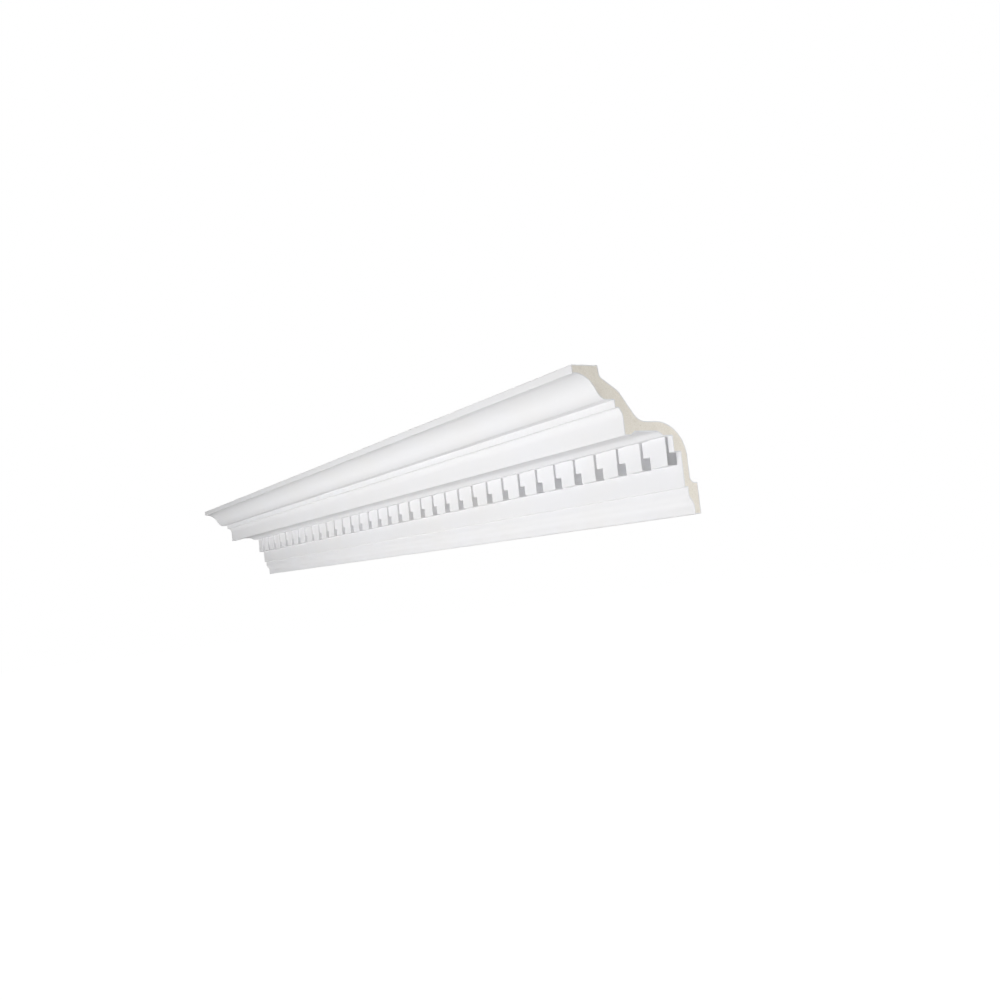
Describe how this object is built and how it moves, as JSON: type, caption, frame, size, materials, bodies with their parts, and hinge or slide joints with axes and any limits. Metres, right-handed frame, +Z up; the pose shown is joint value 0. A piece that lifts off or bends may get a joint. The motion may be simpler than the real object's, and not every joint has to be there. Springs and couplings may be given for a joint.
{
  "type": "cornice moulding length",
  "caption": "Straight length of white dentil cornice with a hollow back, square-cut at both ends, that closes the corner between a wall and a ceiling.",
  "frame": {"origin": "middle of the flat face that is fixed to the wall", "axes": "+X along the length, towards the cut end nearer the camera in the picture; +Y into the wall; +Z up to the ceiling"},
  "size_m": [1.3124, 0.14, 0.1451],
  "materials": {
    "primed_foam": "matt white factory primer over cream rigid foam, bare foam on the two cut ends"
  },
  "bodies": {
    "root": {"cornice_length": "primed_foam"}
  },
  "joints": []
}
